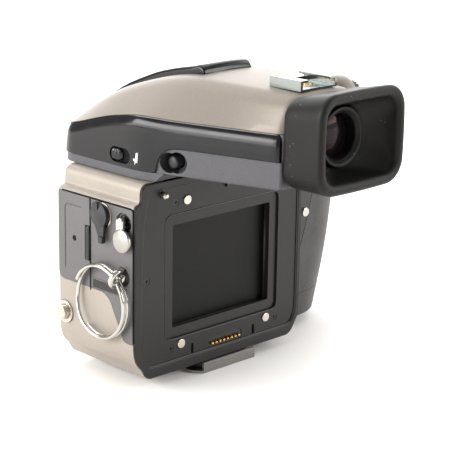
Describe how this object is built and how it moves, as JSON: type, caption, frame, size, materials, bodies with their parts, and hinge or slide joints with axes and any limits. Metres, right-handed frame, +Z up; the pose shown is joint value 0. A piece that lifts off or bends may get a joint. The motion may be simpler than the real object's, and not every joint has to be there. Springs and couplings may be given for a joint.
{
  "type": "medium format film camera body",
  "caption": "Modular single lens reflex camera body with sloping reflex viewfinder, rear film gate, moulded hand grip, pop-up flash, hot shoe and strap ring.",
  "frame": {"origin": "centre of the tripod socket's mouth, in the plane that the base plate stands on", "axes": "+X to the viewer's right, +Y forward towards the lens, +Z up"},
  "size_m": [0.1578, 0.1561, 0.1354],
  "materials": {
    "body_enamel": "champagne metallic enamel, fine sparkle, satin",
    "frame_black": "charcoal matte enamel",
    "side_panel": "warm grey fine-grained plastic",
    "finder_dark": "dark grey plastic with fine speckle, satin",
    "finder_grey": "mid grey plastic, satin",
    "grip_rubber": "charcoal grip covering, matte",
    "black_plastic": "black plastic, matte",
    "eyecup_rubber": "soft black rubber, dusty",
    "nickel": "bright nickel plate",
    "steel": "brushed stainless steel",
    "anodised_black": "black anodised aluminium",
    "curtain": "black blackened metal leaf",
    "gold": "gold plated contacts",
    "plate_silver": "bare satin aluminium",
    "glass": "coated optical glass",
    "screen": "fine matt focusing glass",
    "mirror": "front-silvered mirror",
    "lcd": "grey-green display window, glossy"
  },
  "bodies": {
    "camera_body": {"rear_frame": "frame_black", "rear_plate": "frame_black", "seating_pads": "frame_black", "rear_fasteners": "nickel", "contact_strip": "black_plastic", "mirror_box": "anodised_black", "focusing_screen": "screen", "front_plate": "anodised_black", "bayonet_ring": "nickel", "lens_contact_pins": "gold", "left_cover": "body_enamel", "left_panel": "side_panel", "nameplate": "plate_silver", "accessory_hatch": "side_panel", "sync_socket": "nickel", "left_strap_stud": "nickel", "ring_eye": "nickel", "release_bezel": "nickel", "top_plate": "body_enamel", "body_shell": "body_enamel", "tripod_boss": "black_plastic", "base_plate": "steel", "right_strap_lug": "nickel", "grip_housing": "grip_rubber", "grip_side_strip": "side_panel", "lcd_panel": "lcd"},
    "viewfinder": {"finder_top_shell": "body_enamel", "finder_lower_housing": "finder_grey", "finder_prism": "glass", "hot_shoe": "nickel", "shoe_contacts": "gold", "eyecup": "eyecup_rubber", "eyepiece_ring": "black_plastic", "eye_lens": "glass", "left_wing": "finder_dark", "right_wing": "finder_dark"},
    "flash": {"flash_head": "finder_dark", "flash_window": "glass"},
    "mirror": {"mirror_glass": "mirror", "mirror_carrier": "anodised_black"},
    "upper_leaf": {"upper_shutter_leaf": "curtain"},
    "lower_leaf": {"lower_shutter_leaf": "curtain"},
    "magazine_contacts": {"contact_pins": "gold"},
    "lens_lock": {"lens_lock_pin": "steel"},
    "lens_release": {"release_button": "steel"},
    "ring": {"split_ring": "nickel"},
    "socket_cap": {"sync_cap": "black_plastic"},
    "port_plug": {"port_cover": "black_plastic"},
    "battery": {"battery_grip": "grip_rubber"},
    "shutter_release": {"shutter_button": "steel"},
    "power": {"power_button": "black_plastic"},
    "focus_mode": {"focus_mode_button": "black_plastic"},
    "drive": {"drive_button": "black_plastic"},
    "mirror_up": {"mirror_up_button": "black_plastic"},
    "stop_down": {"stop_down_button": "black_plastic"},
    "front_wheel": {"front_control_wheel": "black_plastic"},
    "rear_wheel": {"rear_control_wheel": "black_plastic"},
    "finder_catch": {"finder_release": "black_plastic"},
    "flash_slider": {"flash_switch": "plate_silver"},
    "dioptre": {"dioptre_wheel": "black_plastic"}
  },
  "joints": [
    {"name": "mirror_swing", "type": "hinge", "parent": "camera_body", "child": "mirror", "pos_m": [0, -0.017, 0.0751], "axis": [1, 0, 0], "range_deg": [0, 45]},
    {"name": "upper_leaf_swing", "type": "hinge", "parent": "camera_body", "child": "upper_leaf", "pos_m": [0, -0.0197, 0.0707], "axis": [1, 0, 0], "range_deg": [0, 88]},
    {"name": "lower_leaf_swing", "type": "hinge", "parent": "camera_body", "child": "lower_leaf", "pos_m": [0, -0.0197, 0.0223], "axis": [1, 0, 0], "range_deg": [-88, 0]},
    {"name": "magazine_contact_press", "type": "slide", "parent": "camera_body", "child": "magazine_contacts", "axis": [0, 1, 0], "range_m": [0, 0.0008], "stiffness_N_per_m": 400},
    {"name": "lens_release_press", "type": "slide", "parent": "camera_body", "child": "lens_release", "axis": [1, 0, 0], "range_m": [0, 0.0018], "stiffness_N_per_m": 600},
    {"name": "lens_lock_retract", "type": "slide", "parent": "camera_body", "child": "lens_lock", "axis": [0, -1, 0], "range_m": [0, 0.0018]},
    {"name": "split_ring_swing", "type": "hinge", "parent": "camera_body", "child": "ring", "pos_m": [-0.05455, -0.0182, 0.0497], "axis": [1, 0, 0], "range_deg": [-45, 0]},
    {"name": "socket_cap_pull", "type": "slide", "parent": "camera_body", "child": "socket_cap", "axis": [-1, 0, 0], "range_m": [0, 0.02]},
    {"name": "port_plug_pull", "type": "slide", "parent": "camera_body", "child": "port_plug", "axis": [-1, 0, 0], "range_m": [0, 0.015]},
    {"name": "battery_draw", "type": "slide", "parent": "camera_body", "child": "battery", "axis": [0, 0, -1], "range_m": [0, 0.03]},
    {"name": "shutter_release_press", "type": "slide", "parent": "camera_body", "child": "shutter_release", "axis": [0, 0, -1], "range_m": [0, 0.0012], "stiffness_N_per_m": 800},
    {"name": "power_press", "type": "slide", "parent": "camera_body", "child": "power", "axis": [0, 0, -1], "range_m": [0, 0.0008], "stiffness_N_per_m": 500},
    {"name": "focus_mode_press", "type": "slide", "parent": "camera_body", "child": "focus_mode", "axis": [0, 0, -1], "range_m": [0, 0.0008], "stiffness_N_per_m": 500},
    {"name": "drive_press", "type": "slide", "parent": "camera_body", "child": "drive", "axis": [0, 0, -1], "range_m": [0, 0.0008], "stiffness_N_per_m": 500},
    {"name": "mirror_up_press", "type": "slide", "parent": "camera_body", "child": "mirror_up", "axis": [0, -1, 0], "range_m": [0, 0.0008], "stiffness_N_per_m": 500},
    {"name": "stop_down_press", "type": "slide", "parent": "camera_body", "child": "stop_down", "axis": [0, -1, 0], "range_m": [0, 0.0008], "stiffness_N_per_m": 500},
    {"name": "front_wheel_turn", "type": "hinge", "parent": "camera_body", "child": "front_wheel", "pos_m": [0.076, 0.0456, 0.077], "axis": [1, 0, 0], "continuous": true},
    {"name": "rear_wheel_turn", "type": "hinge", "parent": "camera_body", "child": "rear_wheel", "pos_m": [0.07, -0.0134, 0.0795], "axis": [1, 0, 0], "continuous": true},
    {"name": "viewfinder_lift", "type": "slide", "parent": "camera_body", "child": "viewfinder", "axis": [0, 0, 1], "range_m": [0, 0.03]},
    {"name": "flash_raise", "type": "hinge", "parent": "viewfinder", "child": "flash", "pos_m": [0, -0.023, 0.1318], "axis": [1, 0, 0], "range_deg": [0, 50]},
    {"name": "finder_catch_press", "type": "slide", "parent": "viewfinder", "child": "finder_catch", "axis": [1, 0, 0], "range_m": [0, 0.001], "stiffness_N_per_m": 500},
    {"name": "flash_slider_slide", "type": "slide", "parent": "viewfinder", "child": "flash_slider", "axis": [0, -1, 0], "range_m": [0, 0.005]},
    {"name": "dioptre_turn", "type": "hinge", "parent": "viewfinder", "child": "dioptre", "pos_m": [0.0288, -0.067, 0.1234], "axis": [1, 0, 0], "continuous": true}
  ],
  "couplings": [
    {"joint": "upper_leaf_swing", "follows": "mirror_swing", "ratio": 1.95},
    {"joint": "lower_leaf_swing", "follows": "mirror_swing", "ratio": -1.95},
    {"joint": "lens_lock_retract", "follows": "lens_release_press", "ratio": 1}
  ]
}
